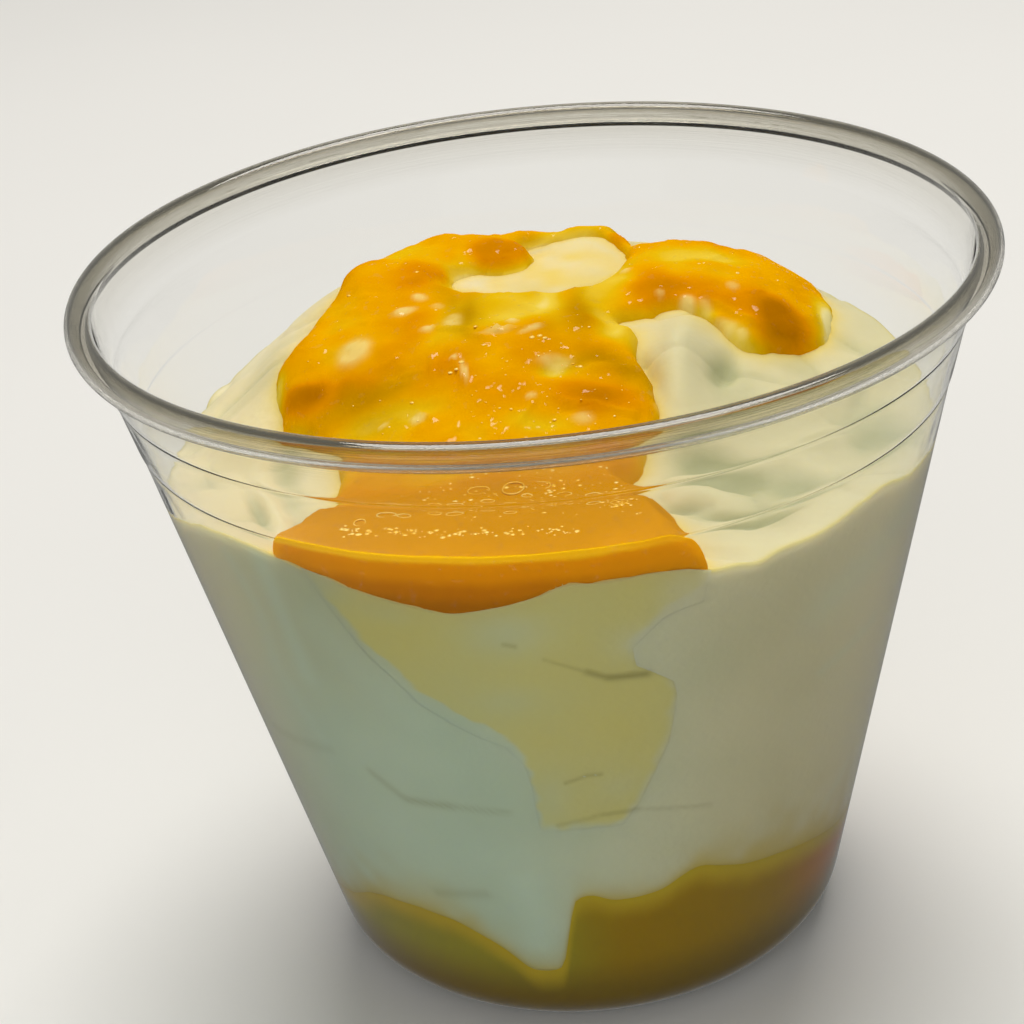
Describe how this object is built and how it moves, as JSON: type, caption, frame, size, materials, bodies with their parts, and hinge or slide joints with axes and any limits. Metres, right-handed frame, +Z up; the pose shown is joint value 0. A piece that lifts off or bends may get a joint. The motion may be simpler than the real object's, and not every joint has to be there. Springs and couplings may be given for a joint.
{
  "type": "mango mousse in a clear plastic cup",
  "caption": "Mango mousse in a clear tapered dessert cup, heaped over amber puree, with glossy mango sauce poured over the top and down to the front wall.",
  "frame": {"origin": "on the cup's axis, at the level that the cup stands on", "axes": "+Z up along the cup's axis, -Y towards the side where the sauce reaches the wall, +X to the right of it"},
  "size_m": [0.092, 0.092, 0.0752],
  "materials": {
    "clear_plastic": "clear, glossy PET sheet",
    "mousse_cream": "soft whipped mousse, pale cream yellow, slightly moist",
    "stained_mousse": "mousse soaked with mango juice",
    "mango_sauce": "wet, glossy mango sauce with fine bubbles",
    "mango_puree": "dark amber fruit puree seen through the cup"
  },
  "bodies": {
    "root": {"cup": "clear_plastic", "mousse": "mousse_cream", "mango_streak": "stained_mousse", "mango_topping": "mango_sauce", "mango_base": "mango_puree"}
  },
  "joints": []
}
